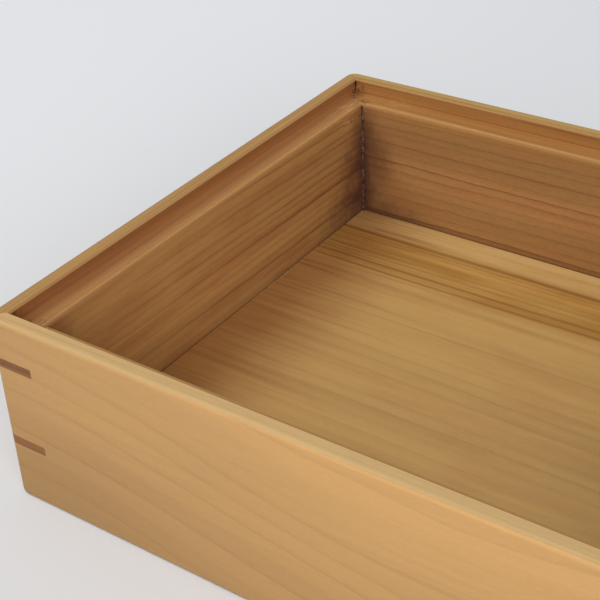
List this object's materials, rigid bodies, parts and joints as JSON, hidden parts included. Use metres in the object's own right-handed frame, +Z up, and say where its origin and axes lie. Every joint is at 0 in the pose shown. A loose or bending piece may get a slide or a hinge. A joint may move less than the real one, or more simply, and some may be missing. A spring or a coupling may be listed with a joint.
{
  "type": "sliding lid tool box",
  "caption": "Shallow wooden box with keyed mitred corners and an undercut rebate round its rim, in which a flat bevelled lid slides along and off over one lowered end.",
  "frame": {"origin": "middle of the left end wall's foot, half its thickness in, on the surface that the box stands on", "axes": "+X along the box to the end that the lid leaves by, +Y from the front wall to the back wall, +Z up"},
  "size_m": [0.466, 0.15, 0.0505],
  "materials": {
    "wall_wood": "satin oiled softwood, straight grain along each wall",
    "key_wood": "satin dark hardwood",
    "floor_wood": "satin oiled softwood with a darker heartwood band",
    "lid_wood": "satin oiled softwood, straight grain along the lid"
  },
  "bodies": {
    "box": {"front_wall": "wall_wood", "back_wall": "wall_wood", "left_end_wall": "wall_wood", "right_end_wall": "wall_wood", "corner_key_front_left_lower": "key_wood", "corner_key_front_left_upper": "key_wood", "corner_key_front_right_lower": "key_wood", "corner_key_front_right_upper": "key_wood", "corner_key_back_left_lower": "key_wood", "corner_key_back_left_upper": "key_wood", "corner_key_back_right_lower": "key_wood", "corner_key_back_right_upper": "key_wood", "floor_panel": "floor_wood"},
    "lid": {"sliding_lid": "lid_wood"}
  },
  "joints": [
    {"name": "lid_slide", "type": "slide", "parent": "box", "child": "lid", "axis": [1, 0, 0], "range_m": [-0.146, 0.175]}
  ]
}
